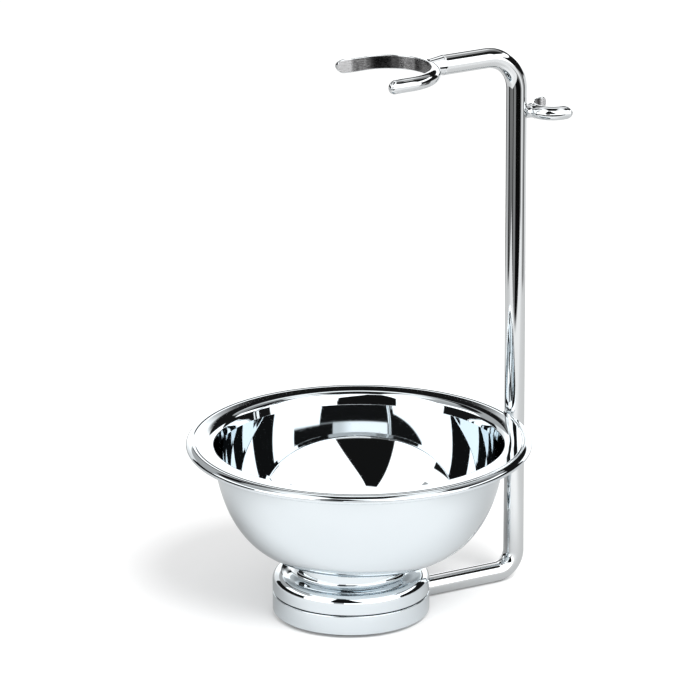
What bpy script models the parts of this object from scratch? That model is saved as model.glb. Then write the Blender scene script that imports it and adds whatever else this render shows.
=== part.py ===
"""Shaving stand with a lather bowl.

A weighted two-tier round base carries a bent round rod.  The rod's top arm ends
in an open U-shaped fork that a shaving brush hangs in, and a smaller fork on the
+X side of the upright takes a razor.  A round bowl with a wide flanged rim stands
loose on the base's pedestal.

Frame: origin on the table under the base's axis, +Z up, +X from the base's axis
towards the upright rod.  Dimensions are in millimetres, built in metres.
"""

import math

import bmesh
import bpy
from mathutils import Matrix, Vector

MM = 0.001
GAP = 0.3               # clearance between neighbouring pieces
STEPS = 48              # facets round a large turned piece
SMALL_STEPS = 24        # facets round the bolt and its washer

# ---- base ----------------------------------------------------------------
BASE_R = 22.8           # both tiers
SHELL_BOTTOM_Z = 1.05   # the pad and the rod reach below the shell, to the table
BOTTOM_EDGE_RAD = 0.45
SEAM_Z = 7.0            # middle of the seam between the tiers
SEAM_BEVEL = 0.2
REGISTER_R = 21.2       # step on the lower tier that the cap drops over
REGISTER_TOP_Z = 8.4
RECESS_R = 20.6         # shallow recess for the pad
RECESS_TOP_Z = 2.1
COUNTERBORE_R = 4.6     # for the bolt's head
COUNTERBORE_TOP_Z = 5.0
PLATE_BORE_R = 2.5

CAP_WALL = 1.2
SHOULDER_Z = 11.65      # where the cap's wall starts to turn in
SHOULDER_RAD = 1.4
CAP_CEILING_Z = 11.8    # underside of the cap's ledge
PEDESTAL_R = 16.1
PEDESTAL_TOP_Z = 17.3
PEDESTAL_WALL = 1.4
PEDESTAL_EDGE_RAD = 0.6
PEDESTAL_FOOT_RAD = 1.5
PEDESTAL_FOOT_Z = 14.45     # centre height of the fillet at the pedestal's foot
DISH_Z = 15.8           # sunken middle of the pedestal's top
CAP_BOSS_R = 4.2        # boss hanging inside the cap, bored for the bolt
CAP_BOSS_BOTTOM_Z = 9.0
CAP_BOSS_ROOT_Z = 14.4
CAP_BORE_R = 2.3
CAP_BORE_TOP_Z = 13.4

GRUB_X = 16.0

# ---- rod -----------------------------------------------------------------
ROD_R = 3.0
ROD_X = 55.2            # upright axis from the base's axis
LOW_ARM_Z = 3.0
TOP_ARM_Z = 160.75
LOW_BEND_RAD = 6.0      # centreline bend radii
TOP_BEND_RAD = 10.5
ROD_LOW_END_X = 9.8
ROD_TOP_END_X = 29.7

CHANNEL_START_X = ROD_LOW_END_X - 0.6
CHANNEL_LENGTH = 20.0
CHANNEL_HALF_W = ROD_R + GAP
CUT_BELOW_Z = -2.0      # the slots are cut from below the table plane
PAD_SLOT_HALF_W = ROD_R + 0.4
PAD_SLOT_END_X = 40.0
PAD_SLOT_TOP_Z = 4.0

# ---- forks ---------------------------------------------------------------
# Far arms lie at +Y, near arms at -Y; the two differ a little in length.
BRUSH_CX = 12.55        # centre of the brush fork's round back
BRUSH_IN_R = 12.25
BRUSH_BOSS_INSET = 0.8  # where the boss starts, out from the bar's inside

RAZOR_Z = 142.6
RAZOR_IN_R = 5.2
RAZOR_BAR_T = 2.8
RAZOR_STANDOFF = 0.7    # bridged by a short saddle between rod and fork
RAZOR_BACK_X = ROD_X + ROD_R + GAP + RAZOR_STANDOFF
RAZOR_CX = RAZOR_BACK_X + RAZOR_BAR_T + RAZOR_IN_R
SADDLE_R = 1.7
SADDLE_LENGTH = 5.0     # the part inside the rod's clearance is cut away
SADDLE_END_X = RAZOR_BACK_X + 1.6

TURN_STEPS = 16         # steps round a fork's half turn
SECTION_STEPS = 8       # steps over the rounded side of the bar
BAR_EDGE_T = 0.35       # bar thickness at its top and bottom edges
BAR_ROUND_POWER = 0.8   # below 1 gives the rounded side fuller flanks
TIP_MIN_SHARE = 0.22    # height left at the very tip, as a share of the bar's
TIP_MIN_SWELL = 0.35    # swell of the rounded side as the height runs to nothing
TIP_PLACES = (0.0, 0.12, 0.35, 0.7, 1.0)   # stations along the rounded tip
LEAD_DEPTH = 0.8        # how far the inside is ground back at the tip
LONG_ARM = 6.0          # arms longer than this get the long lead-in
LONG_LEAD, SHORT_LEAD = 4.0, 2.0
MIN_STRAIGHT = 1.0      # shorter plain lengths get no station of their own

# ---- bowl ----------------------------------------------------------------
BOWL_X, BOWL_Y = 1.95, -1.35   # it rests slightly off the base's axis
BOWL_R = 50.0           # outside of the rolled rim
BOWL_BOTTOM_Z = 17.63
BOWL_BODY_R = 42.15
BOWL_BODY_TOP_Z = 51.8
BOWL_RIM_TOP_Z = 53.2
BOWL_WALL = 1.0
BOWL_INSIDE_R = BOWL_BODY_R - BOWL_WALL - 0.1
BOWL_INSIDE_TOP_Z = BOWL_BODY_TOP_Z + 0.6
ROLL_HALF_W = 2.4       # the rolled edge is an oval lying flat
ROLL_HALF_H = 1.5

# Radii at which the body's curves are sampled, and angles round the rolled edge.
OUTSIDE_RADII = (
    0.0, 8.0, 14.0, 18.0, 22.0, 26.0, 29.0, 31.5,
    33.6, 35.5, 37.2, 38.7, 40.0, 41.0, 41.6, 42.0,
)
INSIDE_RADII = (0.0, 10.0, 17.0, 22.0, 26.0, 29.5, 32.2, 34.4, 36.3, 37.9, 39.2, 40.2, 40.95)
ROLL_ANGLES = (90, 70, 50, 30, 10, -10, -30, -50, -70, -95)


# ---- helpers -------------------------------------------------------------
def add_object(name, data, collection, mat=None):
    obj = bpy.data.objects.new(name, data)
    collection.objects.link(obj)
    if mat is not None:
        data.materials.append(mat)
    return obj


def frame(name, x=0.0, y=0.0):
    """An empty on the table that pieces are parented to."""
    empty = add_object(name, None, parts)
    empty.location = (x * MM, y * MM, 0.0)
    empty.empty_display_size = 0.02
    return empty


def material(name, colour, metallic, roughness):
    mat = bpy.data.materials.new(name)
    mat.use_nodes = True
    inputs = mat.node_tree.nodes["Principled BSDF"].inputs
    inputs["Base Color"].default_value = (*colour, 1.0)
    inputs["Metallic"].default_value = metallic
    inputs["Roughness"].default_value = roughness
    return mat


def mesh_from(name, bm):
    """Turn a bmesh into a mesh and free it."""
    mesh = bpy.data.meshes.new(name)
    bm.to_mesh(mesh)
    bm.free()
    return mesh


def arc(centre_a, centre_z, radius, start, end, steps):
    """Points of an arc in an upright plane, angles in degrees."""
    points = []
    for i in range(steps + 1):
        angle = math.radians(start + (end - start) * i / steps)
        points.append((centre_a + radius * math.cos(angle), centre_z + radius * math.sin(angle)))
    return points


def turned(name, profile, mat, closed=False, x=0.0, steps=STEPS):
    """A solid of revolution about Z from a profile of (radius, height) points."""
    edges = [(i, i + 1) for i in range(len(profile) - 1)]
    if closed:
        edges.append((len(profile) - 1, 0))
    mesh = bpy.data.meshes.new(name)
    mesh.from_pydata([(radius * MM, 0.0, z * MM) for radius, z in profile], edges, [])
    obj = add_object(name, mesh, parts, mat)
    obj.location.x = x * MM
    screw = obj.modifiers.new("turn", "SCREW")
    screw.axis = "Z"
    screw.angle = math.tau
    screw.steps = steps
    screw.render_steps = steps
    screw.use_merge_vertices = True
    screw.merge_threshold = 0.00001
    screw.use_smooth_shade = True
    return obj


def helper(name, mesh):
    """A hidden object that a boolean works with."""
    obj = add_object(name, mesh, cutters)
    obj.hide_render = True
    obj.display_type = "WIRE"
    return obj


def cylinder_helper(name, radius, length, centre, axis, segments=24):
    bm = bmesh.new()
    bmesh.ops.create_cone(
        bm, cap_ends=True, segments=segments,
        radius1=radius * MM, radius2=radius * MM, depth=length * MM,
    )
    obj = helper(name, mesh_from(name, bm))
    turn = Vector((0, 0, 1)).rotation_difference(Vector(axis)).to_matrix().to_4x4()
    obj.matrix_world = Matrix.Translation(Vector(centre) * MM) @ turn
    return obj


def box_helper(name, low, high):
    """A box between two opposite corners."""
    bm = bmesh.new()
    bmesh.ops.create_cube(bm, size=1.0)
    mesh = mesh_from(name, bm)
    size = [(b - a) * MM for a, b in zip(low, high)]
    mesh.transform(Matrix.Diagonal((*size, 1.0)))
    obj = helper(name, mesh)
    obj.location = [(b + a) * 0.5 * MM for a, b in zip(low, high)]
    return obj


def boolean(obj, other, operation="DIFFERENCE"):
    mod = obj.modifiers.new(operation.lower(), "BOOLEAN")
    mod.operation = operation
    mod.solver = "EXACT"
    mod.object = other


# ---- base ----------------------------------------------------------------
def build_base_plate():
    """Lower tier: a turned disc with a channel for the rod and a hole for its screw."""
    profile = [
        (PLATE_BORE_R, REGISTER_TOP_Z),
        (REGISTER_R, REGISTER_TOP_Z),
        (REGISTER_R, SEAM_Z - GAP / 2),
        (BASE_R - SEAM_BEVEL, SEAM_Z - GAP / 2),
        (BASE_R, SEAM_Z - GAP / 2 - SEAM_BEVEL),
        *arc(BASE_R - BOTTOM_EDGE_RAD, SHELL_BOTTOM_Z + BOTTOM_EDGE_RAD, BOTTOM_EDGE_RAD,
             0, -90, 3),
        (RECESS_R, SHELL_BOTTOM_Z),
        (RECESS_R, RECESS_TOP_Z),
        (COUNTERBORE_R, RECESS_TOP_Z),
        (COUNTERBORE_R, COUNTERBORE_TOP_Z),
        (PLATE_BORE_R, COUNTERBORE_TOP_Z),
    ]
    plate = turned("base_plate", profile, chrome_base, closed=True)
    boolean(plate, cylinder_helper(
        "cut_rod_channel", CHANNEL_HALF_W, CHANNEL_LENGTH,
        (CHANNEL_START_X + CHANNEL_LENGTH / 2, 0, LOW_ARM_Z), (1, 0, 0)))
    boolean(plate, box_helper(
        "cut_rod_channel_low",
        (CHANNEL_START_X, -CHANNEL_HALF_W, CUT_BELOW_Z),
        (CHANNEL_START_X + CHANNEL_LENGTH, CHANNEL_HALF_W, LOW_ARM_Z)))
    boolean(plate, cylinder_helper(
        "cut_grub_hole", 1.8, 6.0, (GRUB_X, 0, 7.0), (0, 0, 1), segments=16))
    return plate


def build_base_cap():
    """Upper tier: a hollow cap with the pedestal on top and a bored boss inside."""
    profile = [
        (0.0, DISH_Z),
        (12.6, DISH_Z),
        (13.4, PEDESTAL_TOP_Z),
        (PEDESTAL_R - PEDESTAL_EDGE_RAD, PEDESTAL_TOP_Z),
        *arc(PEDESTAL_R - PEDESTAL_EDGE_RAD, PEDESTAL_TOP_Z - PEDESTAL_EDGE_RAD,
             PEDESTAL_EDGE_RAD, 60, 0, 2),
        *arc(PEDESTAL_R + PEDESTAL_FOOT_RAD, PEDESTAL_FOOT_Z, PEDESTAL_FOOT_RAD, 180, 270, 4),
        (19.2, 12.85),
        *arc(BASE_R - SHOULDER_RAD, SHOULDER_Z, SHOULDER_RAD, 90, 0, 5),
        (BASE_R, SEAM_Z + GAP / 2 + SEAM_BEVEL),
        (BASE_R - SEAM_BEVEL, SEAM_Z + GAP / 2),
        (BASE_R - CAP_WALL, SEAM_Z + GAP / 2),
        (BASE_R - CAP_WALL, SHOULDER_Z),
        (BASE_R - 2.0, CAP_CEILING_Z),
        (PEDESTAL_R - PEDESTAL_WALL, CAP_CEILING_Z),
        (PEDESTAL_R - PEDESTAL_WALL, CAP_BOSS_ROOT_Z),
        (CAP_BOSS_R, CAP_BOSS_ROOT_Z),
        (CAP_BOSS_R, CAP_BOSS_BOTTOM_Z),
        (CAP_BORE_R, CAP_BOSS_BOTTOM_Z),
        (CAP_BORE_R, CAP_BORE_TOP_Z),
        (0.0, CAP_BORE_TOP_Z),
    ]
    return turned("base_cap", profile, chrome_base)


def build_ballast():
    profile = [(4.7, 11.4), (20.0, 11.4), (21.1, 10.8), (21.1, 8.75), (4.7, 8.75)]
    return turned("ballast_disc", profile, iron, closed=True)


def build_centre_bolt():
    """Bolt standing head down, with a socket in the underside of its head."""
    profile = [
        (0.0, 13.0), (1.7, 13.0), (2.0, 12.7), (2.0, 3.8),
        (3.3, 3.8), (3.6, 3.5), (3.6, 2.9), (3.1, 2.2),
        (1.2, 2.2), (1.2, 3.0), (0.0, 3.0),
    ]
    return turned("centre_bolt", profile, zinc, steps=SMALL_STEPS)


def build_washer():
    profile = [(2.3, 4.7), (4.2, 4.7), (4.2, 4.1), (2.3, 4.1)]
    return turned("bolt_washer", profile, zinc, closed=True, steps=SMALL_STEPS)


def build_grub_screw():
    """Screw standing over the rod's lower arm, with a socket in its top."""
    profile = [
        (0.0, 7.3), (0.75, 7.3), (0.75, 8.1), (1.2, 8.1),
        (1.5, 7.8), (1.5, 6.7), (1.1, 6.35), (0.0, 6.35),
    ]
    return turned("rod_grub_screw", profile, zinc, x=GRUB_X, steps=16)


def build_foot_pad():
    """Disc in the plate's recess, slotted for the rod."""
    radius = RECESS_R - GAP
    top = RECESS_TOP_Z - GAP
    profile = [
        (0.0, top), (radius - 0.2, top), (radius, top - 0.2),
        (radius, 0.25), (radius - 0.25, 0.0), (0.0, 0.0),
    ]
    pad = turned("foot_pad", profile, rubber)
    boolean(pad, box_helper(
        "cut_pad_slot",
        (CHANNEL_START_X, -PAD_SLOT_HALF_W, CUT_BELOW_Z),
        (PAD_SLOT_END_X, PAD_SLOT_HALF_W, PAD_SLOT_TOP_Z)))
    return pad


# ---- rod -----------------------------------------------------------------
def build_rod():
    """Round bar in the XZ plane: a lower arm, the upright and a top arm."""
    path = [
        (ROD_LOW_END_X, LOW_ARM_Z),
        *arc(ROD_X - LOW_BEND_RAD, LOW_ARM_Z + LOW_BEND_RAD, LOW_BEND_RAD, -90, 0, 6),
        *arc(ROD_X - TOP_BEND_RAD, TOP_ARM_Z - TOP_BEND_RAD, TOP_BEND_RAD, 0, 90, 8),
        (ROD_TOP_END_X, TOP_ARM_Z),
    ]
    curve = bpy.data.curves.new("rod", "CURVE")
    curve.dimensions = "3D"
    curve.bevel_depth = ROD_R * MM
    curve.bevel_resolution = 4
    curve.use_fill_caps = True
    spline = curve.splines.new("POLY")
    spline.points.add(len(path) - 1)
    for point, (x, z) in zip(spline.points, path):
        point.co = (x * MM, 0.0, z * MM, 1.0)
    return add_object("rod", curve, parts, chrome_rod)


# ---- forks ---------------------------------------------------------------
def arm_stations(straight, height):
    """(height share, lead-in, distance ahead of the turn's centre), tip first."""
    round_len = min(height * 0.5, straight)
    lead_len = LONG_LEAD if straight > LONG_ARM else SHORT_LEAD
    places = [t * round_len for t in TIP_PLACES]
    if round_len < lead_len < straight:
        places.append(lead_len)
    if straight - places[-1] > MIN_STRAIGHT:
        places.append(straight)
    stations = []
    for place in places:
        share = 1.0
        if place < round_len:
            rounding = 1.0 - ((round_len - place) / round_len) ** 2
            share = max(TIP_MIN_SHARE, math.sqrt(max(0.0, rounding)))
        lead = 0.0 if place >= lead_len else LEAD_DEPTH * (1.0 - place / lead_len)
        stations.append((share, lead, straight - place))
    return stations


def bar_section(share, lead, thick, height):
    """(outward offset, height) points: flat inside, rounded outside, top first."""
    half = height * 0.5 * share
    swell = TIP_MIN_SWELL + (1.0 - TIP_MIN_SWELL) * share
    section = [(lead, half)]
    for k in range(1, SECTION_STEPS):
        angle = math.pi * 0.5 - math.pi * k / SECTION_STEPS
        bulge = (thick - lead - BAR_EDGE_T) * abs(math.cos(angle)) ** BAR_ROUND_POWER * swell
        section.append((lead + BAR_EDGE_T + bulge, half * math.sin(angle)))
    section.append((lead, -half))
    return section


def fork(name, centre_x, far_tip_x, near_tip_x, z, inner_r, thick, height):
    """An open U of D-section bar.  Its tips are rounded seen from the side, and
    their inside is ground back as a lead-in."""
    toward = 1.0 if far_tip_x > centre_x else -1.0   # the way the fork opens along X
    far = arm_stations(abs(far_tip_x - centre_x), height)
    near = arm_stations(abs(near_tip_x - centre_x), height)

    # Stations: height share, lead-in, inner face x and y, outward normal x and y.
    stations = [(share, lead, toward * ahead, inner_r, 0.0, 1.0) for share, lead, ahead in far]
    for i in range(TURN_STEPS + 1):
        # An arm that already reaches the turn supplies the turn's end station.
        if (i == 0 and far[-1][2] < 1e-6) or (i == TURN_STEPS and near[-1][2] < 1e-6):
            continue
        angle = math.pi * i / TURN_STEPS
        out_x, out_y = -toward * math.sin(angle), math.cos(angle)
        stations.append((1.0, 0.0, inner_r * out_x, inner_r * out_y, out_x, out_y))
    for share, lead, ahead in reversed(near):
        stations.append((share, lead, toward * ahead, -inner_r, 0.0, -1.0))

    bm = bmesh.new()
    rings = []
    for share, lead, x, y, out_x, out_y in stations:
        rings.append([
            bm.verts.new(Vector((
                (centre_x + x + out_x * offset) * MM,
                (y + out_y * offset) * MM,
                (z + rise) * MM,
            )))
            for offset, rise in bar_section(share, lead, thick, height)
        ])
    count = len(rings[0])
    for a, b in zip(rings, rings[1:]):
        for i in range(count):
            j = (i + 1) % count
            bm.faces.new((a[i], a[j], b[j], b[i]))
    bm.faces.new(rings[0][::-1])
    bm.faces.new(rings[-1])
    bmesh.ops.recalc_face_normals(bm, faces=bm.faces)
    obj = add_object(name, mesh_from(name, bm), parts, chrome_fork)
    obj.data.shade_smooth()
    obj.data.set_sharp_from_angle(angle=math.radians(50))
    return obj


def build_brush_fork():
    """Opens towards -X; a boss on its back meets the rod's top end."""
    obj = fork("brush_fork", BRUSH_CX, far_tip_x=3.4, near_tip_x=5.0, z=TOP_ARM_Z,
               inner_r=BRUSH_IN_R, thick=2.8, height=4.1)
    start = BRUSH_CX + BRUSH_IN_R + BRUSH_BOSS_INSET
    end = ROD_TOP_END_X - GAP
    boss = cylinder_helper("join_brush_boss", ROD_R, end - start,
                           ((start + end) / 2, 0, TOP_ARM_Z), (1, 0, 0))
    boolean(obj, boss, "UNION")
    return obj


def build_razor_fork():
    """Opens towards +X; a saddle on its back is hollowed to clear the upright."""
    obj = fork("razor_fork", RAZOR_CX, far_tip_x=68.9, near_tip_x=69.7, z=RAZOR_Z,
               inner_r=RAZOR_IN_R, thick=RAZOR_BAR_T, height=4.0)
    saddle = cylinder_helper("join_razor_boss", SADDLE_R, SADDLE_LENGTH,
                             (SADDLE_END_X - SADDLE_LENGTH / 2, 0, RAZOR_Z), (1, 0, 0),
                             segments=16)
    boolean(obj, saddle, "UNION")
    boolean(obj, cylinder_helper("cut_razor_rod", ROD_R + GAP, 12.0,
                                 (ROD_X, 0, RAZOR_Z), (0, 0, 1), segments=32))
    return obj


# ---- bowl ----------------------------------------------------------------
def body_curve(radii, top_r, top_z, floor_z, power, root):
    """Superellipse from the floor's centre out and up to the top radius."""
    return [
        (r, top_z - (top_z - floor_z) * max(0.0, 1.0 - (r / top_r) ** power) ** (1.0 / root))
        for r in radii
    ]


def build_bowl():
    """Profile runs up the inside, over the flange and its roll, and down the outside."""
    inside = body_curve(INSIDE_RADII, BOWL_INSIDE_R, BOWL_INSIDE_TOP_Z,
                        BOWL_BOTTOM_Z + BOWL_WALL, power=4.35, root=1.85)
    outside = body_curve(OUTSIDE_RADII, BOWL_BODY_R, BOWL_BODY_TOP_Z,
                         BOWL_BOTTOM_Z, power=4.3, root=1.74)
    roll = [
        (BOWL_R - ROLL_HALF_W + ROLL_HALF_W * math.cos(math.radians(angle)),
         BOWL_RIM_TOP_Z - ROLL_HALF_H + ROLL_HALF_H * math.sin(math.radians(angle)))
        for angle in ROLL_ANGLES
    ]
    profile = [
        *inside,
        (41.45, 50.1),
        *arc(43.55, 51.05, 1.8, 172, 98, 4),   # inside wall turns out into the flange
        (45.6, BOWL_RIM_TOP_Z - 0.08),
        *roll,
        (46.0, 49.85), (43.6, 50.0), (42.35, 49.65),   # underside of the flange
        *reversed(outside),
    ]
    return turned("bowl", profile, chrome_bowl)


# ---- scene ---------------------------------------------------------------
for old in list(bpy.data.objects):
    bpy.data.objects.remove(old, do_unlink=True)
scene = bpy.context.scene
scene.unit_settings.system = "METRIC"
scene.unit_settings.scale_length = 1.0
parts = bpy.data.collections.new("shaving_stand")
cutters = bpy.data.collections.new("cutters")
for collection in (parts, cutters):
    scene.collection.children.link(collection)

chrome_base = material("chrome_base", colour=(0.80, 0.82, 0.84), metallic=1.0, roughness=0.05)
chrome_rod = material("chrome_rod", colour=(0.78, 0.80, 0.82), metallic=1.0, roughness=0.05)
chrome_fork = material("chrome_fork", colour=(0.76, 0.78, 0.79), metallic=1.0, roughness=0.10)
chrome_bowl = material("chrome_bowl", colour=(0.82, 0.84, 0.86), metallic=1.0, roughness=0.04)
iron = material("cast_iron", colour=(0.16, 0.16, 0.17), metallic=1.0, roughness=0.60)
zinc = material("zinc_steel", colour=(0.55, 0.56, 0.58), metallic=1.0, roughness=0.35)
rubber = material("pad_rubber", colour=(0.03, 0.03, 0.03), metallic=0.0, roughness=0.75)

stand_frame = frame("stand_frame")
for build in (
    build_base_plate, build_base_cap, build_ballast, build_centre_bolt, build_washer,
    build_grub_screw, build_foot_pad, build_rod, build_brush_fork, build_razor_fork,
):
    build().parent = stand_frame
bowl_frame = frame("bowl_frame", BOWL_X, BOWL_Y)
build_bowl().parent = bowl_frame
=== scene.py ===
"""A chromed shaving stand with its lather bowl, on a white studio table.

Z is up and the round base is centred on the origin.  The bent rod rises in the XZ plane
on the +X side; its top runs back towards -X to the brush fork, and the razor fork stands
out on the rod's +X side.  The camera looks from -X, -Y and above.  Pieces are modelled in
millimetres and scaled by MM; the studio is in metres."""

import math

import bmesh
import bpy
from mathutils import Matrix, Vector


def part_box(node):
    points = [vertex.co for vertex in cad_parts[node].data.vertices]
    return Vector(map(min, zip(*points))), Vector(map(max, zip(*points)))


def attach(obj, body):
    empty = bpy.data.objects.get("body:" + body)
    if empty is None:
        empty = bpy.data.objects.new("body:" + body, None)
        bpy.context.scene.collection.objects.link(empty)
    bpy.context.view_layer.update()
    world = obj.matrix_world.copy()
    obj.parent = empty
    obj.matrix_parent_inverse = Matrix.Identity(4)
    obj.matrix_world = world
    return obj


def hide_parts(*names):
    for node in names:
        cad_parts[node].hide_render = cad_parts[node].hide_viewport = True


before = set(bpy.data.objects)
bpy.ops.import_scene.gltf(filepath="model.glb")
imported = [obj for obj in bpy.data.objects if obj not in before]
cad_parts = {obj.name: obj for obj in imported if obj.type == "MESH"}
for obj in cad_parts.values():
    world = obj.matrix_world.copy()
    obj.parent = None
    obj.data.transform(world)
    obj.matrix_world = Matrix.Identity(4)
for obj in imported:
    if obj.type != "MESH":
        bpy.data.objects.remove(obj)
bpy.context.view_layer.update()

scene = bpy.context.scene
MM = 0.001


# ---- places taken from the frame, millimetres ----------------------------------
def mm_box(node):
    low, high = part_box(node)
    return [v / MM for v in low], [v / MM for v in high]


PLATE_LOW, PLATE_HIGH = mm_box("base_plate")
CAP_LOW, CAP_HIGH = mm_box("base_cap")
ROD_LOW, ROD_HIGH = mm_box("rod")
BOWL_LOW, BOWL_HIGH = mm_box("bowl")
BRUSH_LOW, BRUSH_HIGH = mm_box("brush_fork")
RAZOR_LOW, RAZOR_HIGH = mm_box("razor_fork")

BASE_R = PLATE_HIGH[1]
BASE_Z = PLATE_LOW[2]
HALF_GAP = 0.15                        # half the gap between the base's two tiers
SPLIT_Z = CAP_LOW[2] - HALF_GAP
PEDESTAL_Z = CAP_HIGH[2]

ROD_R = (ROD_HIGH[1] - ROD_LOW[1]) / 2
ROD_X = ROD_HIGH[0] - ROD_R            # axis of the upright
ROD_LOW_Z = ROD_LOW[2] + ROD_R         # axes of the two level runs
ROD_TOP_Z = ROD_HIGH[2] - ROD_R
ROD_LOW_END_X = ROD_LOW[0]
ROD_TOP_END_X = 29.7
LOW_BEND_R, TOP_BEND_R = 6.0, 10.5
ROD_SIDES = 64
ROD_EDGE = 0.45                        # rounding of the rod's ends
END_STATIONS = [0.0, 0.04, 0.13, 0.27, 0.45]    # distances from each end

BOWL_AT = ((BOWL_LOW[0] + BOWL_HIGH[0]) / 2, (BOWL_LOW[1] + BOWL_HIGH[1]) / 2)
BOWL_R = (BOWL_HIGH[0] - BOWL_LOW[0]) / 2
BOWL_Z = BOWL_LOW[2]
RIM_Z = BOWL_HIGH[2]
BODY_R = 42.15                         # the bowl below its flange
BODY_TOP = RIM_Z - 1.4
ROLL_W, ROLL_H = 2.0, 1.35             # half-width and half-height of the rim's rolled edge

BAR_THICK = 2.8                        # both forks' bar
BAR_CORNER = 0.22
BAR_FLAT_SPANS = 10                    # spans across the bar's flat inner face
LEAD_IN = 0.8                          # how far the tips' inner face is ground back
BRUSH_Z = (BRUSH_LOW[2] + BRUSH_HIGH[2]) / 2
BRUSH_X, BRUSH_IN_R = 12.55, 12.25     # centre and inner radius of the U's bend
RAZOR_Z = (RAZOR_LOW[2] + RAZOR_HIGH[2]) / 2
RAZOR_IN_R = 5.2
RAZOR_GAP = 1.0                        # between rod and razor fork
RAZOR_X = ROD_X + ROD_R + RAZOR_GAP + BAR_THICK + RAZOR_IN_R


# ---- mesh helpers ---------------------------------------------------------------
def arc(centre_r, centre_z, radius, start, end, spans):
    """Points of an arc in the (radius, height) plane, angles in degrees."""
    points = []
    for i in range(spans + 1):
        angle = math.radians(start + (end - start) * i / spans)
        points.append((centre_r + radius * math.cos(angle), centre_z + radius * math.sin(angle)))
    return points


def between(start, end, share):
    return tuple(p + (q - p) * share for p, q in zip(start, end))


def spaced(points, step):
    """The same polyline with no span longer than step."""
    out = [points[0]]
    for start, end in zip(points, points[1:]):
        spans = max(1, math.ceil(math.dist(start, end) / step))
        out += [between(start, end, k / spans) if k < spans else end for k in range(1, spans + 1)]
    return out


def vertex(shell, x, y, z):
    return shell.verts.new((x * MM, y * MM, z * MM))


def new_object(name, shell, sharp_angle=38.0):
    bmesh.ops.recalc_face_normals(shell, faces=shell.faces)
    mesh = bpy.data.meshes.new(name)
    shell.to_mesh(mesh)
    shell.free()
    obj = bpy.data.objects.new(name, mesh)
    scene.collection.objects.link(obj)
    mesh.shade_smooth()
    mesh.set_sharp_from_angle(angle=math.radians(sharp_angle))
    return obj


def lathe(name, profile, centre=(0.0, 0.0), steps=240, loop=False):
    """A solid of revolution about the vertical through centre; its profile of
    (radius, height) points starts and ends on the axis, or closes on itself as a loop."""
    shell = bmesh.new()
    rings = []
    for radius, z in profile:
        if radius < 1e-5:
            rings.append([vertex(shell, *centre, z)])
            continue
        ring = []
        for k in range(steps):
            angle = math.tau * k / steps
            ring.append(vertex(shell, centre[0] + radius * math.cos(angle),
                               centre[1] + radius * math.sin(angle), z))
        rings.append(ring)
    pairs = list(zip(rings, rings[1:]))
    if loop:
        pairs.append((rings[-1], rings[0]))
    for ring, after in pairs:
        for k in range(steps):
            j = (k + 1) % steps
            if len(ring) == 1:
                shell.faces.new((ring[0], after[j], after[k]))
            elif len(after) == 1:
                shell.faces.new((ring[k], ring[j], after[0]))
            else:
                shell.faces.new((ring[k], ring[j], after[j], after[k]))
    return new_object(name, shell)


def skin(shell, rings):
    """Joins rings of vertices and closes both ends; returns (place in ring, quad) pairs."""
    quads = []
    for ring, after in zip(rings, rings[1:]):
        for i in range(len(ring)):
            j = (i + 1) % len(ring)
            quads.append((i, shell.faces.new((ring[i], ring[j], after[j], after[i]))))
    shell.faces.new(rings[0][::-1])
    shell.faces.new(rings[-1])
    return quads


# ---- bowl -----------------------------------------------------------------------
def body_curve(radius, top, bottom, power, root, end_radius, count=110):
    """A superellipse from the axis out to end_radius, in count equal lengths."""
    fine = []
    for i in range(4001):
        r = end_radius * math.sin(math.pi / 2 * i / 4000)
        fine.append((r, top - (top - bottom) * (1.0 - (r / radius) ** power) ** (1.0 / root)))
    length = [0.0]
    for start, end in zip(fine, fine[1:]):
        length.append(length[-1] + math.dist(start, end))
    points, j = [], 0
    for k in range(count + 1):
        want = length[-1] * k / count
        while j < len(length) - 2 and length[j + 1] < want:
            j += 1
        share = (want - length[j]) / (length[j + 1] - length[j])
        points.append(between(fine[j], fine[j + 1], share))
    return points


def cut_corners(points):
    """Two passes of Chaikin's corner cutting, ends kept."""
    for _ in range(2):
        out = [points[0]]
        for start, end in zip(points, points[1:]):
            for share in (0.25, 0.75):
                out.append(tuple(p * (1 - share) + q * share for p, q in zip(start, end)))
        out.append(points[-1])
        points = out
    return points


def flange_top(radius):
    """A point on the flat of the rim, which leans in by a little over a degree."""
    return radius, RIM_Z - 0.015 - 0.0235 * (47.4 - radius)


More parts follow.
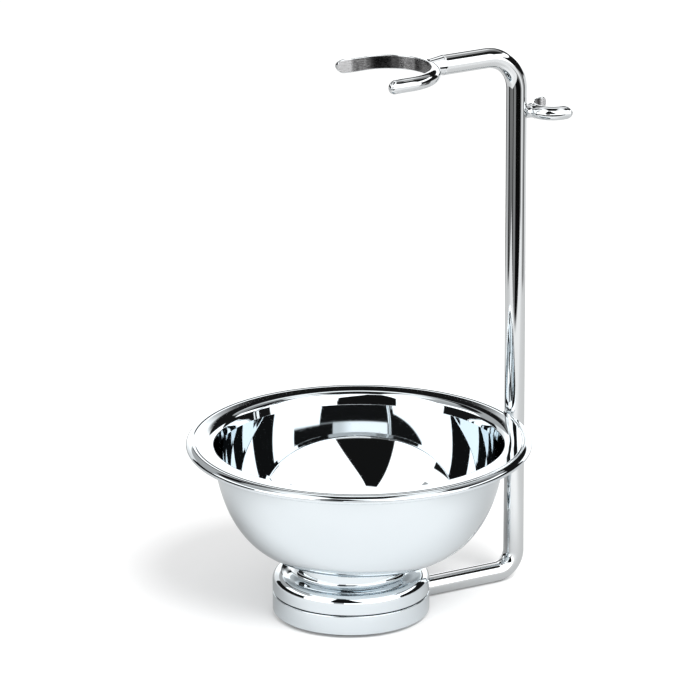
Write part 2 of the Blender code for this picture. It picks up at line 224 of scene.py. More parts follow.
def bowl_profile():
    """Inside from the axis, over the rim, and back down the outside."""
    inside = body_curve(radius=BODY_R - 1.1, top=BODY_TOP + 0.6, bottom=BOWL_Z + 1.0,
                        power=4.35, root=1.85, end_radius=40.95)
    outside = body_curve(radius=BODY_R, top=BODY_TOP, bottom=BOWL_Z,
                         power=4.3, root=1.74, end_radius=42.0)
    # the wall turns out at a crisp line below the flange, then rolls over into it
    lip_r, lip_z = inside[-1]
    flange = (
        [(lip_r - 0.003, lip_z - 0.04), (lip_r, lip_z), (lip_r + 0.012, lip_z + 0.04)]
        + [(lip_r + 0.293 * (z - lip_z), z) for z in (49.9, 50.4, 50.9)]
        + arc(43.655, RIM_Z - 2.33, 2.2, 163.7, 91.5, 36)
        + [flange_top(radius) for radius in (44.2, 45.2, 46.2, 47.0, 47.2)]
        # a fine groove before the rolled edge
        + [(47.38, RIM_Z - 0.035), (47.55, RIM_Z - 0.08), (47.75, RIM_Z - 0.04)]
    )
    rolled_edge = [
        (BOWL_R - ROLL_W + ROLL_W * math.cos(math.radians(angle)),
         RIM_Z - ROLL_H + ROLL_H * math.sin(math.radians(angle)))
        for angle in range(88, -97, -4)
    ]
    underside = cut_corners([(47.4, 50.4), (46.4, 50.12), (44.8, 50.12), (43.2, 50.2),
                             (42.35, 49.75), outside[-1]])
    return inside[:-1] + flange + rolled_edge + underside[1:-1] + outside[::-1]


bowl = lathe("lather_bowl", bowl_profile(), BOWL_AT, steps=288)


# ---- base -----------------------------------------------------------------------
def plate_profile():
    """The lower tier, a ring round a bore of radius 2.5."""
    edge, foot = 0.3, 0.45             # roundings of the upper and lower outer edges
    top = SPLIT_Z - HALF_GAP
    return (
        spaced([(2.5, 8.4), (21.2, 8.4), (21.2, top)], 3.0)
        + arc(BASE_R - edge, top - edge, edge, 90, 0, 6)
        + arc(BASE_R - foot, BASE_Z + foot, foot, 0, -90, 8)
        # wide recess underneath, then a narrow one round the bore
        + [(20.6, BASE_Z), (20.6, 2.1), (4.6, 2.1), (4.6, 5.0), (2.5, 5.0)]
    )


def cap_profile():
    """The upper tier, from the middle of its top to the end of its blind hole."""
    edge, shoulder = 0.3, 2.8          # roundings of the lower and upper outer edges
    bottom = SPLIT_Z + HALF_GAP
    return (
        # dished middle and rim of the pedestal
        [(0.0, 15.8), (11.8, 15.8)]
        + arc(11.8, 16.6, 0.8, -90, -30, 5)
        + arc(13.6, PEDESTAL_Z - 0.5, 0.5, 150, 90, 5)
        + [(15.4, PEDESTAL_Z)]
        + arc(15.5, PEDESTAL_Z - 0.6, 0.6, 88, 0, 8)
        # hollow at the pedestal's foot, then out over the shoulder and down the side
        + arc(17.6, 14.45, 1.5, 180, 264, 12)
        + [(19.2, 12.87)]
        + arc(BASE_R - shoulder, 10.25, shoulder, 85, 0, 20)
        + spaced([(BASE_R, 10.0), (BASE_R, SPLIT_Z + 0.55)], 1.2)
        + arc(BASE_R - edge, bottom + edge, edge, 0, -90, 6)
        # hollow underside with a boss round the hole
        + [(BASE_R - 1.2, bottom), (BASE_R - 1.2, 11.0), (20.6, 11.8), (14.7, 11.8),
           (14.7, 14.4), (4.2, 14.4), (4.2, 9.0), (2.3, 9.0), (2.3, 13.4), (0.0, 13.4)]
    )


plate = lathe("base_lower_tier", plate_profile(), loop=True)
cap = lathe("base_upper_tier", cap_profile())


# ---- rod ------------------------------------------------------------------------
def straight(start, end, step=2.0):
    """Stations (x, z, tangent x, tangent z) along a straight, ends included."""
    length = math.dist(start, end)
    spans = max(1, round(length / step))
    tangent = tuple((q - p) / length for p, q in zip(start, end))
    return [
        tuple(p + (q - p) * k / spans for p, q in zip(start, end)) + tangent
        for k in range(spans + 1)
    ]


def bend(centre_x, centre_z, radius, start, end, spans):
    """Stations between the ends of a bend, angles in degrees."""
    stations = []
    for k in range(1, spans):
        angle = math.radians(start + (end - start) * k / spans)
        cos, sin = math.cos(angle), math.sin(angle)
        stations.append((centre_x + radius * cos, centre_z + radius * sin, -sin, cos))
    return stations


def rod_path():
    low_x, top_x = ROD_X - LOW_BEND_R, ROD_X - TOP_BEND_R
    low_z, top_z = ROD_LOW_Z + LOW_BEND_R, ROD_TOP_Z - TOP_BEND_R
    return (
        [(ROD_LOW_END_X + d, ROD_LOW_Z, 1.0, 0.0) for d in END_STATIONS]
        + straight((ROD_LOW_END_X + 1.0, ROD_LOW_Z), (low_x, ROD_LOW_Z))
        + bend(low_x, low_z, LOW_BEND_R, -90, 0, 30)
        + straight((ROD_X, low_z), (ROD_X, top_z))
        + bend(top_x, top_z, TOP_BEND_R, 0, 90, 40)
        + straight((top_x, ROD_TOP_Z), (ROD_TOP_END_X + 1.0, ROD_TOP_Z))
        + [(ROD_TOP_END_X + d, ROD_TOP_Z, -1.0, 0.0) for d in END_STATIONS[::-1]]
    )


def bent_rod(name):
    shell = bmesh.new()
    path = rod_path()
    rings = []
    for i, (x, z, tangent_x, tangent_z) in enumerate(path):
        radius = ROD_R
        from_end = min(i, len(path) - 1 - i)
        if from_end < len(END_STATIONS):
            inward = ROD_EDGE - END_STATIONS[from_end]
            radius = ROD_R - (ROD_EDGE - math.sqrt(ROD_EDGE ** 2 - inward ** 2))
        ring = []
        for k in range(ROD_SIDES):
            angle = math.tau * k / ROD_SIDES
            # outward is the tangent turned a quarter to its right
            outward = radius * math.sin(angle)
            ring.append(vertex(shell, x + outward * tangent_z, radius * math.cos(angle),
                               z - outward * tangent_x))
        rings.append(ring)
    skin(shell, rings)
    return new_object(name, shell)


rod = bent_rod("bent_rod")


# ---- forks ----------------------------------------------------------------------
def fork_arm(length, height, lead_length):
    """Stations from an arm's tip to the bend: share of the full height, how far the inner
    face is ground back, distance from the bend, share of the full thickness."""
    round_length = min(height * 0.5, length * 0.98)
    rest = length - round_length
    lead = min(lead_length, length * 0.9)
    places = [round_length * (1 - math.cos(math.pi / 2 * k / 14)) for k in range(15)]
    spans = max(2, int(rest / 0.4))
    places += [round_length + rest * k / spans for k in range(1, spans + 1)]
    stations = []
    for place in places:
        tall = thick = 1.0
        if place < round_length:
            curve = 1.0 - ((round_length - place) / round_length) ** 2
            tall = 0.10 + 0.90 * math.sqrt(max(0.0, curve))
        if place < 0.9:
            thick = 0.62 + 0.38 * math.sqrt(1 - (1 - place / 0.9) ** 2)
        ground = 0.0 if place >= lead else LEAD_IN * (1.0 - place / lead)
        stations.append((tall, ground, length - place, thick))
    return stations


def bar_section(half_height, ground, thick):
    """(outward, upward) points of the bar: flat inside, rounded outside."""
    corner = min(BAR_CORNER, half_height * 0.6)
    flat_half = half_height - corner
    outer = ground + (BAR_THICK - ground) * thick
    flat = [(ground, flat_half * (1 - 2 * k / BAR_FLAT_SPANS)) for k in range(BAR_FLAT_SPANS + 1)]
    low_corner = [
        (ground + corner * (1 - math.cos(math.radians(angle))),
         -flat_half - corner * math.sin(math.radians(angle)))
        for angle in (22, 45, 68)
    ]
    rounded = []
    for k in range(31):
        angle = -math.pi * 0.5 + math.pi * k / 30
        bulge = (outer - ground - corner) * abs(math.cos(angle)) ** 0.8
        rounded.append((ground + corner + bulge, half_height * math.sin(angle)))
    top_corner = [(outward, -upward) for outward, upward in reversed(low_corner)]
    return flat + low_corner + rounded + top_corner


def fork(name, centre_x, far_tip, near_tip, z, inner_r, height, lead_length):
    """An open, level U of D-section bar with its far arm on +Y; tips rounded from the
    side, their inside ground back to a flat lead-in."""
    toward = 1.0 if far_tip > centre_x else -1.0

    def arm(tip, side):
        return [
            (tall, ground, toward * offset, side * inner_r, 0.0, side, thick)
            for tall, ground, offset, thick in
            fork_arm(abs(tip - centre_x), height, lead_length)
        ]

    # height share, ground-back, x, y, outward normal x, y, thickness share
    stations = arm(far_tip, 1.0)
    for i in range(1, 56):
        angle = math.pi * i / 56
        normal_x, normal_y = -toward * math.sin(angle), math.cos(angle)
        stations.append((1.0, 0.0, inner_r * normal_x, inner_r * normal_y,
                         normal_x, normal_y, 1.0))
    stations += arm(near_tip, -1.0)[::-1]

    shell = bmesh.new()
    bar_uv = shell.loops.layers.uv.new("bar")
    uv_of = {}                         # (distance along the bar, height), millimetres
    rings = []
    along = 0.0
    last = stations[0][2:4]
    for tall, ground, x, y, normal_x, normal_y, thick in stations:
        along += math.dist(last, (x, y))
        last = (x, y)
        ring = []
        for outward, upward in bar_section(height * 0.5 * tall, ground, thick):
            corner = vertex(shell, centre_x + x + normal_x * outward,
                            y + normal_y * outward, z + upward)
            uv_of[corner] = (along, upward)
            ring.append(corner)
        rings.append(ring)
    for i, quad in skin(shell, rings):
        for loop in quad.loops:
            loop[bar_uv].uv = uv_of[loop.vert]
        # the flat inner face has its own slot
        quad.material_index = 1 if i < BAR_FLAT_SPANS else 0
    return new_object(name, shell, sharp_angle=40)


def neck(name, start_x, end_x, start_r, end_r, z, start_flare, end_flare, sides=64, spans=24):
    """A round neck along X between the rod and a fork, with a concave flare at each end."""
    shell = bmesh.new()
    rings = []
    for k in range(spans + 1):
        share = k / spans
        x = start_x + (end_x - start_x) * share
        radius = start_r + (end_r - start_r) * share
        radius += (start_flare * max(0.0, 1 - share * 2.2) ** 2.6
                   + end_flare * max(0.0, 1 - (1 - share) * 2.2) ** 2.6)
        rings.append([
            vertex(shell, x, radius * math.cos(math.tau * i / sides),
                   z + radius * math.sin(math.tau * i / sides))
            for i in range(sides)
        ])
    skin(shell, rings)
    return new_object(name, shell, sharp_angle=50)


brush_fork = fork("brush_fork_bar", centre_x=BRUSH_X, far_tip=3.4, near_tip=5.0, z=BRUSH_Z,
                  inner_r=BRUSH_IN_R, height=4.1, lead_length=4.0)
razor_fork = fork("razor_fork_bar", centre_x=RAZOR_X, far_tip=68.9, near_tip=69.7, z=RAZOR_Z,
                  inner_r=RAZOR_IN_R, height=4.0, lead_length=2.0)
brush_neck = neck("brush_fork_neck", start_x=BRUSH_X + BRUSH_IN_R + 1.0,
                  end_x=ROD_TOP_END_X + 0.75, start_r=2.3, end_r=3.01, z=BRUSH_Z,
                  start_flare=0.0, end_flare=0.0)
razor_neck = neck("razor_fork_neck", start_x=ROD_X + 1.8, end_x=RAZOR_X - RAZOR_IN_R - 0.9,
                  start_r=1.75, end_r=1.75, z=RAZOR_Z, start_flare=0.9, end_flare=0.5)


# ---- node arithmetic ------------------------------------------------------------
class Num:
    """A number inside a node tree; arithmetic on it adds nodes."""

    def __init__(self, tree, socket):
        self.tree, self.socket = tree, socket

    def math(self, operation, *others):
        return math_node(self.tree, operation, self, *others)

    def __add__(self, other):
        return self.math("ADD", other)

    def __sub__(self, other):
        return self.math("SUBTRACT", other)

    def __rsub__(self, other):
        return math_node(self.tree, "SUBTRACT", other, self)

    def __mul__(self, other):
        return self.math("MULTIPLY", other)

    def inverse(self):
        """A mask's opposite."""
        return self * -1.0 + 1.0

    def mapped(self, low, high, to_low, to_high, interpolation="LINEAR"):
        node = self.tree.nodes.new("ShaderNodeMapRange")
        node.interpolation_type = interpolation
        self.tree.links.new(self.socket, node.inputs["Value"])
        for key, value in (("From Min", low), ("From Max", high),
                           ("To Min", to_low), ("To Max", to_high)):
            node.inputs[key].default_value = value
        return Num(self.tree, node.outputs["Result"])

    def step(self, low, high):
        """0 below low, 1 above high, smooth between."""
        return self.mapped(low, high, 0.0, 1.0, "SMOOTHSTEP")

    def band(self, low, high, soft):
        """1 between low and high, with edges blurred by soft to either side."""
        return self.step(low - soft, low + soft) * self.step(high - soft, high + soft).inverse()


def math_node(tree, operation, *values):
    node = tree.nodes.new("ShaderNodeMath")
    node.operation = operation
    for slot, value in zip(node.inputs, values):
        if isinstance(value, Num):
            tree.links.new(value.socket, slot)
        else:
            slot.default_value = value
    return Num(tree, node.outputs[0])


def constant(tree, value):
    node = tree.nodes.new("ShaderNodeValue")
    node.outputs[0].default_value = value
    return Num(tree, node.outputs[0])


def over(base, value, mask):
    """base, with value where mask is 1."""
    if not isinstance(value, Num):
        value = constant(base.tree, value)
    return base + (value - base) * mask


def dot(tree, vector, axis):
    node = tree.nodes.new("ShaderNodeVectorMath")
    node.operation = "DOT_PRODUCT"
    tree.links.new(vector, node.inputs[0])
    node.inputs[1].default_value = axis
    return Num(tree, node.outputs["Value"])


# ---- materials ------------------------------------------------------------------
def new_material(name, metallic):
    mat = bpy.data.materials.new(name)
    mat.use_nodes = True
    bsdf = mat.node_tree.nodes["Principled BSDF"]
    bsdf.inputs["Metallic"].default_value = metallic
    return mat, mat.node_tree, bsdf


def noise(tree, scale, detail, stretch=(1, 1, 1), vector=None):
    """A noise value, stretched along an axis by a factor below 1; vector defaults to the
    piece's own coordinates."""
    if vector is None:
        vector = tree.nodes.new("ShaderNodeTexCoord").outputs["Object"]
    mapping = tree.nodes.new("ShaderNodeMapping")
    mapping.inputs["Scale"].default_value = stretch
    texture = tree.nodes.new("ShaderNodeTexNoise")
    texture.inputs["Scale"].default_value = scale
    texture.inputs["Detail"].default_value = detail
    tree.links.new(vector, mapping.inputs["Vector"])
    tree.links.new(mapping.outputs["Vector"], texture.inputs["Vector"])
    return Num(tree, texture.outputs["Fac"])


def ramp(value, stops):
    """A colour socket from (position, colour) stops."""
    node = value.tree.nodes.new("ShaderNodeValToRGB")
    value.tree.links.new(value.socket, node.inputs["Fac"])
    while len(node.color_ramp.elements) < len(stops):
        node.color_ramp.elements.new(0.5)
    for element, (position, colour) in zip(node.color_ramp.elements, stops):
        element.position = position
        element.color = (*colour, 1)
    return node.outputs["Color"]


def bump(tree, bsdf, heights):
    """heights: (value, depth in metres) pairs, stacked."""
    last = None
    for value, depth in heights:
        node = tree.nodes.new("ShaderNodeBump")
        node.inputs["Strength"].default_value = 1.0
        node.inputs["Distance"].default_value = depth
        tree.links.new(value.socket, node.inputs["Height"])
        if last is not None:
            tree.links.new(last, node.inputs["Normal"])
        last = node.outputs["Normal"]
    tree.links.new(last, bsdf.inputs["Normal"])


def chrome(name, tint, rough, wave_depth=0.000006, stretch=(1, 1, 1)):
    """Bright nickel-chrome plate: nearly a mirror, with a faint haze of polishing that
    comes and goes, tiny pits and a very slight waviness of the metal under it."""
    mat, tree, bsdf = new_material(name, metallic=1.0)
    cloud = noise(tree, scale=34.0, detail=3.0, stretch=stretch)
    fine = noise(tree, scale=1500.0, detail=2.0, stretch=stretch)
    tone = ramp(cloud, [(0.3, tint), (0.7, tuple(c * 1.015 for c in tint))])
    tree.links.new(tone, bsdf.inputs["Base Color"])
    haze = (cloud.mapped(0.35, 0.75, rough * 0.55, rough * 1.25)
            + fine.mapped(0.62, 0.80, 0.0, rough * 0.9))
    tree.links.new(haze.socket, bsdf.inputs["Roughness"])
    wave = noise(tree, scale=60.0, detail=1.0, stretch=stretch)
    pits = noise(tree, scale=2600.0, detail=1.0).mapped(0.70, 0.82, 0.0, 1.0)
    bump(tree, bsdf, [(wave, wave_depth), (pits, 0.0000012)])
    return mat


def brushed(name, facet, painted_dark_stretches):
    """The fork bars' flat inside: linished along the bar, darker where the grain is deep.
    Up to facet millimetres from the far tip it is ground matt; each (from, to) stretch listed
    in the last argument is painted darker, standing in for dark reflections on the face."""
    mat, tree, bsdf = new_material(name, metallic=1.0)
    bar = tree.nodes.new("ShaderNodeUVMap")
    bar.uv_map = "bar"
    grain, fine_grain, patchy = (
        noise(tree, scale=1.0, detail=3.0, stretch=stretch, vector=bar.outputs["UV"])
        for stretch in ((0.35, 9.0, 1), (1.4, 26.0, 1), (0.9, 3.2, 1))
    )
    split = tree.nodes.new("ShaderNodeSeparateXYZ")
    tree.links.new(bar.outputs["UV"], split.inputs[0])
    along = Num(tree, split.outputs["X"])

    bright = None
    # painted reflection: each stretch darkens the colour where the flat face mirrors dark
    # surroundings
    for start, end in painted_dark_stretches:
        reflection_dark = (along.mapped(start, start + 0.8, 0.0, 1.0)
                * along.mapped(end - 1.2, end, 1.0, 0.0)
                * patchy.mapped(0.25, 0.75, 0.45, 0.95))
        keep = 1.0 - reflection_dark
        bright = keep if bright is None else bright * keep
    steel = ramp(grain, [(0.30, (0.50, 0.50, 0.50)), (0.55, (0.80, 0.80, 0.81)),
                         (0.75, (0.88, 0.88, 0.89))])
    tone = tree.nodes.new("ShaderNodeVectorMath")
    tone.operation = "SCALE"
    tree.links.new(steel, tone.inputs[0])
    tree.links.new(bright.socket, tone.inputs["Scale"])
    tree.links.new(tone.outputs[0], bsdf.inputs["Base Color"])
    matt = along.mapped(facet - 0.2, facet + 0.3, 0.45, 0.0)
    rough = patchy.mapped(0.3, 0.7, 0.10, 0.24) + matt
    tree.links.new(rough.socket, bsdf.inputs["Roughness"])
    bump(tree, bsdf, [(grain, 0.000012), (fine_grain, 0.000008)])
    return mat


def grained(name, metallic, grain, cloud, stops, rough, depth):
    """Plain stuff with a fine grain that roughens it and a coarser cloud of colour."""
    mat, tree, bsdf = new_material(name, metallic)
    grain, cloud = noise(tree, **grain), noise(tree, **cloud)
    tree.links.new(ramp(cloud, stops), bsdf.inputs["Base Color"])
    tree.links.new(grain.mapped(0.3, 0.7, *rough).socket, bsdf.inputs["Roughness"])
    bump(tree, bsdf, [(grain, depth)])
    return mat


TINT = (0.75, 0.80, 0.83)
CHROME_BOWL = chrome("chrome_bowl_plate", TINT, rough=0.025)
CHROME_BASE = chrome("chrome_base_plate", TINT, rough=0.035)
CHROME_ROD = chrome("chrome_rod_plate", (0.78, 0.80, 0.81), rough=0.035,
                    wave_depth=0.0000096, stretch=(1, 1, 0.25))
CHROME_FORK = chrome("chrome_fork_plate", (0.775, 0.80, 0.815), rough=0.045,
                     wave_depth=0.0000132)
# the stretches given last are painted dark reflections on the inner faces, not wear
BRUSH_INSIDE = brushed("brush_fork_linished", facet=4.0, painted_dark_stretches=((4.0, 19.6), (25.2, 35.0)))
RAZOR_INSIDE = brushed("razor_fork_linished", facet=1.8, painted_dark_stretches=((2.0, 13.0),))
for obj, materials in (
    (bowl, [CHROME_BOWL]), (plate, [CHROME_BASE]), (cap, [CHROME_BASE]), (rod, [CHROME_ROD]),
    (brush_neck, [CHROME_FORK]), (razor_neck, [CHROME_FORK]),
    (brush_fork, [CHROME_FORK, BRUSH_INSIDE]), (razor_fork, [CHROME_FORK, RAZOR_INSIDE]),
):
    for mat in materials:
        obj.data.materials.append(mat)

IRON = grained(
    "ballast_iron", metallic=0.8,
    grain={"scale": 1400.0, "detail": 4.0}, cloud={"scale": 130.0, "detail": 4.0},
    stops=[(0.35, (0.055, 0.055, 0.06)), (0.62, (0.10, 0.10, 0.105)), (0.8, (0.13, 0.09, 0.065))],
    rough=(0.5, 0.8), depth=0.00006)
ZINC = grained(
    "fastener_zinc", metallic=1.0,
    grain={"scale": 900.0, "detail": 3.0, "stretch": (1, 1, 0.2)},
    cloud={"scale": 260.0, "detail": 2.0},
    stops=[(0.3, (0.46, 0.47, 0.50)), (0.7, (0.62, 0.62, 0.60))],
    rough=(0.26, 0.46), depth=0.00001)
RUBBER = grained(
    "pad_rubber_grain", metallic=0.0,
    grain={"scale": 2200.0, "detail": 3.0}, cloud={"scale": 120.0, "detail": 4.0},
    stops=[(0.4, (0.012, 0.012, 0.013)), (0.75, (0.035, 0.034, 0.033))],
    rough=(0.62, 0.9), depth=0.00004)
for node, mat in (("ballast_disc", IRON), ("centre_bolt", ZINC), ("bolt_washer", ZINC),
                  ("rod_grub_screw", ZINC), ("foot_pad", RUBBER)):
    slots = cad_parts[node].data.materials
    if len(slots) == 0:
        slots.append(mat)
    for k in range(len(slots)):
        slots[k] = mat

# piece, CAD piece it replaces, what it rides on, material slot
for obj, node, carrier, slot_name in (
    (bowl, "bowl", "bowl", "chrome_bowl"),
    (plate, "base_plate", "stand", "chrome_base"),
    (cap, "base_cap", "stand", "chrome_base"),
    (rod, "rod", "stand", "chrome_rod"),
    (brush_fork, "brush_fork", "stand", "chrome_fork"),
    (razor_fork, "razor_fork", "stand", "chrome_fork"),
):
    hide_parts(node)
    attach(obj, carrier)
for obj in (brush_neck, razor_neck):
    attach(obj, "stand")

# ---- the studio round the stand, metres -----------------------------------------
LOOK = (0.4703, 0.8233, -0.3178)       # the camera looks this way
VIEW_ANGLE = math.atan2(LOOK[1], LOOK[0])
AHEAD = (math.cos(VIEW_ANGLE), math.sin(VIEW_ANGLE), 0.0)
ASIDE = (math.sin(VIEW_ANGLE), -math.cos(VIEW_ANGLE), 0.0)     # to the camera's right
LAMP = 1.85                            # brightness of the two big lamps
DEGREES = 180 / math.pi


def studio_group():
    """Light arriving from a direction: two big softboxes in front, a lit backdrop, a
    ceiling and the dark gaps between them.  Headings are in degrees clockwise from the
    camera's own heading, so 180 is back towards the camera."""
    group = bpy.data.node_groups.new("studio_light", "ShaderNodeTree")
    group.interface.new_socket("Direction", in_out="INPUT", socket_type="NodeSocketVector")
    group.interface.new_socket("Light", in_out="OUTPUT", socket_type="NodeSocketFloat")
    direction = group.nodes.new("NodeGroupInput").outputs[0]
    result = group.nodes.new("NodeGroupOutput")

    ahead, aside, rise = (dot(group, direction, axis) for axis in (AHEAD, ASIDE, (0, 0, 1)))
    bounces = Num(group, group.nodes.new("ShaderNodeLightPath").outputs["Glossy Depth"])
    deep = bounces.step(1.4, 1.6)      # 1 once a ray has met more than one surface
    turn = aside.math("ARCTAN2", ahead) * DEGREES
    turn = (turn + 360.0).math("MODULO", 360.0)
    height = rise.math("ARCSINE") * DEGREES
    back = (turn + 180.0).math("MODULO", 360.0)     # 180 is straight behind the stand

    def patches(light, rows):
        """Lays each row over the light: brightness, heading, its (from, to, softness),
        the height's (from, to, softness), and any further mask."""
        for brightness, heading, across, upward, *gates in rows:
            mask = heading.band(*across) * height.band(*upward)
            for gate in gates:
                mask = mask * gate
            light = over(light, brightness, mask)
        return light

    # ceiling, and the room behind the lamps
    light = patches(constant(group, 0.45), (
        (0.70, back, (110, 240, 4), (60, 75, 2)),
        (0.28, turn, (58, 122, 4), (61, 76, 2)),
        (over(constant(group, 1.25), 0.06, deep), turn, (208, 345, 4), (61, 79, 2)),
    ))
    light = over(light, 1.25, deep.inverse() * turn.band(5, 100, 4) * height.band(50, 80, 2))
    cloth = back.step(146, 172) * 0.62 + 0.90
    gap_shows = (deep.inverse() * back.step(170, 174).inverse()).inverse()
    light = patches(light, (
        # backdrop, the dark gap above it, then the wall above that
        (cloth, back, (138, 226, 1.5), (-30, 20.4, 0.8)),
        (0.010, back, (110, 233, 2), (20.5, 36.5, 0.6), gap_shows),
        (0.62, back, (128, 211, 3), (37, 61, 1.2)),
        (1.50, back, (160, 200, 4), (45, 60, 2)),
        (0.28, back, (210, 240, 3), (38, 61, 2)),
        # dark room above the sides of the lamps
        (0.014, turn, (59, 113, 2), (35.5, 61, 1.2)),
        (0.008, turn, (248, 308, 2), (34.5, 61, 1.2), deep),
        (0.010, back, (120, 170, 4), (38, 50, 2), deep.inverse()),
        # the gap under the right lamp's far end
        (0.010, turn, (46, 105, 1.2), (-30, 30, 1)),
    ))
    # right lamp's far end, its lower edge falling from 26 degrees at 58 to 16 at 105
    above_edge = height - ((turn - 58) * ((16 - 26) / (105 - 58)) + 26)
    light = over(light, LAMP, turn.band(57.5, 108, 0.8) * height.step(33.8, 35.2).inverse()
                 * above_edge.step(-0.6, 0.6))
    light = patches(light, (
        (LAMP, turn, (105, 190, 0.8), (-40, 60.5, 0.8)),
        # the gap under the left lamp's far end, then that lamp
        (0.010, turn, (251, 318, 1.2), (-30, 20, 0.6)),
        (LAMP, turn, (238, 296, 0.9), (20, 34, 0.7)),
        (LAMP, turn, (205, 251.5, 0.8), (-40, 60, 0.8)),
    ))
    # the dark wedge between the lamps, where the camera stands
    lean = (height - 16.0) * 0.59
    wedge = ((turn - lean).step(163.3, 164.7)
             * (turn + lean * 0.17).step(209.3, 210.7).inverse() * height.band(9.5, 60, 0.8))
    light = over(light, 0.008, wedge)

    # below the table's level: heading from, to, brightness
    low = constant(group, 1.0)
    for start, end, brightness in (
        (40, 76, 0.80), (76, 93, 0.09), (93, 107, 0.37), (107, 125, 0.97),
        (125, 134, 0.18), (134, 190, 0.004), (190, 211, 0.25), (211, 224, 0.010),
        (224, 254, 0.19), (254, 278, 0.022), (278, 320, 0.52), (320, 353, 0.016),
    ):
        low = over(low, brightness, turn.band(start, end, 2.5))
    light = over(light, low, height.step(-7, -3).inverse())
    # the lamps' tops, and the slot between them running on overhead
    light = over(light, LAMP, deep.inverse() * turn.band(105, 255, 3) * height.band(60, 68, 1.5))
    light = over(light, 0.012, aside.math("ABSOLUTE").step(0.17, 0.23).inverse()
                 * ahead.band(-0.38, 0.47, 0.02) * rise.step(0.5, 0.6))
    group.links.new(light.socket, result.inputs[0])
    return group


STUDIO = studio_group()


def studio_light(tree, direction):
    node = tree.nodes.new("ShaderNodeGroup")
    node.node_tree = STUDIO
    tree.links.new(direction, node.inputs[0])
    return node.outputs[0]


# ---- table ----------------------------------------------------------------------
TABLE_LIT, TABLE_LIFT = 0.76, 0.10     # brightness that takes shadows, and that doesn't
FAR_GLOW = 1.05                        # the table's even white far from the stand


def table_white():
    mat = bpy.data.materials.new("table_white")
    mat.use_nodes = True
    tree = mat.node_tree
    nodes, links = tree.nodes, tree.links
    nodes.clear()
    output = nodes.new("ShaderNodeOutputMaterial")
    in_chrome = Num(tree, nodes.new("ShaderNodeLightPath").outputs["Is Glossy Ray"])
    geometry = nodes.new("ShaderNodeNewGeometry")
    position = geometry.outputs["Position"]
    onward = nodes.new("ShaderNodeVectorMath")
    onward.operation = "SCALE"
    onward.inputs["Scale"].default_value = -1.0
    links.new(geometry.outputs["Incoming"], onward.inputs[0])

    side, deep = dot(tree, position, ASIDE), dot(tree, position, AHEAD)
    # seen in the chrome, the table is brightest just in front of the base and falls off
    # to its sides and behind it, where the lamps in front don't reach
    fall = constant(tree, 0.71)
    fall = over(fall, 0.83, side.band(-0.10, 0.10, 0.05) * deep.band(-0.13, 0.05, 0.05))
    fall = over(fall, 0.56, side.math("ABSOLUTE").step(0.08, 0.15) * deep.step(-0.14, -0.05))
    fall = over(fall, 0.54, deep.step(-0.045, 0.045))
    gain = over(constant(tree, 1.0), fall, in_chrome)

    # far from the stand the table is an even white, so it has no visible end
    reach = nodes.new("ShaderNodeVectorMath")
    reach.operation = "LENGTH"
    links.new(position, reach.inputs[0])
    far = Num(tree, reach.outputs["Value"]).step(0.30, 0.65)

    white = nodes.new("ShaderNodeAddShader")
    for k, (kind, slot, near_amount, far_amount) in enumerate((
        ("ShaderNodeBsdfDiffuse", "Color", TABLE_LIT, 0.0),
        ("ShaderNodeEmission", "Strength", TABLE_LIFT, FAR_GLOW),
    )):
        shader = nodes.new(kind)
        amount = gain * over(constant(tree, near_amount), far_amount, far)
        links.new(amount.socket, shader.inputs[slot])
        links.new(shader.outputs[0], white.inputs[k])

    # past the table's edges, the chrome sees the studio instead
    glow = nodes.new("ShaderNodeEmission")
    links.new(studio_light(tree, onward.outputs[0]), glow.inputs["Strength"])
    on_table = side.band(-0.24, 0.33, 0.012) * deep.band(-0.215, 0.28, 0.012)
    beyond = on_table.inverse() * in_chrome
    mix = nodes.new("ShaderNodeMixShader")
    links.new(beyond.socket, mix.inputs[0])
    links.new(white.outputs[0], mix.inputs[1])
    links.new(glow.outputs[0], mix.inputs[2])
    links.new(mix.outputs[0], output.inputs[0])
    return mat


table_shell = bmesh.new()
bmesh.ops.create_grid(table_shell, x_segments=1, y_segments=1, size=8.0)
table = new_object("table", table_shell)
table.data.materials.append(table_white())


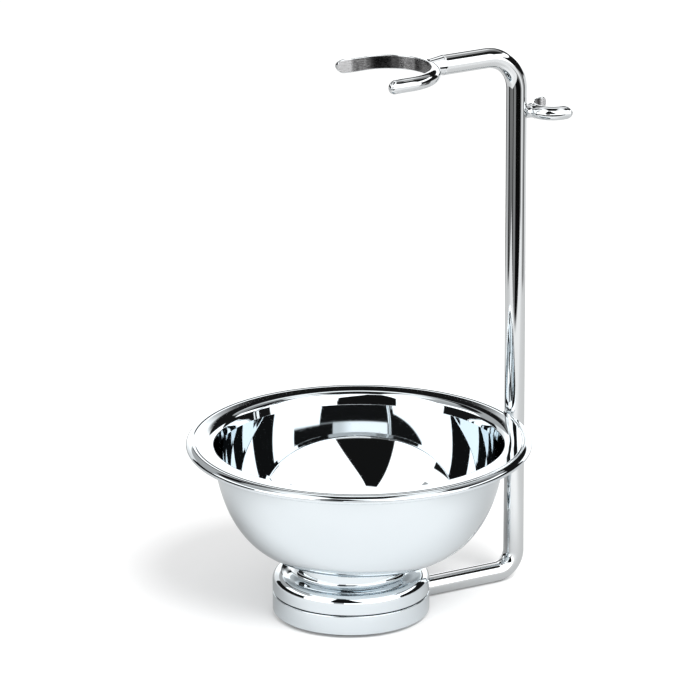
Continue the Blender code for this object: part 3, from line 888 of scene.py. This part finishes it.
# ---- light ----------------------------------------------------------------------
def light_world():
    world = bpy.data.worlds.new("studio")
    scene.world = world
    world.use_nodes = True
    tree = world.node_tree
    background = tree.nodes["Background"]
    coords = tree.nodes.new("ShaderNodeTexCoord")
    ray = tree.nodes.new("ShaderNodeLightPath").outputs
    strength = Num(tree, studio_light(tree, coords.outputs["Generated"]))
    # an even dome lights the table, and the camera sees plain white
    strength = over(strength, 0.80, Num(tree, ray["Is Diffuse Ray"]))
    strength = over(strength, 1.0, Num(tree, ray["Is Camera Ray"]))
    tree.links.new(strength.socket, background.inputs["Strength"])
    background.inputs["Color"].default_value = (1, 1, 1, 1)


def lamp(name, heading, height, size, power, distance=2.6, aim=(0.0, 0.0, 0.03)):
    """A disk lamp unseen in the chrome; heading clockwise from the camera's, in degrees."""
    data = bpy.data.lights.new(name, "AREA")
    data.shape = "DISK"
    data.size = size
    data.energy = power
    obj = bpy.data.objects.new(name, data)
    scene.collection.objects.link(obj)
    angle = VIEW_ANGLE - math.radians(heading)
    rise = math.radians(height)
    obj.location = (distance * math.cos(rise) * math.cos(angle),
                    distance * math.cos(rise) * math.sin(angle), distance * math.sin(rise))
    obj.rotation_euler = (Vector(aim) - obj.location).to_track_quat("-Z", "Y").to_euler()
    obj.visible_glossy = False
    obj.visible_camera = False


light_world()
lamp("key_light", heading=150, height=49, size=1.4, power=62)
lamp("side_light", heading=238, height=50, size=1.8, power=14)


# ---- camera ---------------------------------------------------------------------
def add_camera(position, look, roll):
    data = bpy.data.cameras.new("camera")
    data.sensor_width = 36.0
    data.lens = 308.571429
    data.clip_end = 50.0
    camera = bpy.data.objects.new("camera", data)
    scene.collection.objects.link(camera)
    forward = Vector(look).normalized()
    level = forward.cross(Vector((0, 0, 1))).normalized()
    upright = level.cross(forward)
    right = math.cos(roll) * level + math.sin(roll) * upright
    up = -math.sin(roll) * level + math.cos(roll) * upright
    turned = Matrix([[right[i], up[i], -forward[i]] for i in range(3)])
    camera.matrix_world = Matrix.Translation(position) @ turned.to_4x4()
    scene.camera = camera


add_camera(position=Vector((-0.8102, -1.4180, 0.6275)), look=LOOK, roll=-0.002)
scene.view_settings.view_transform = "Standard"
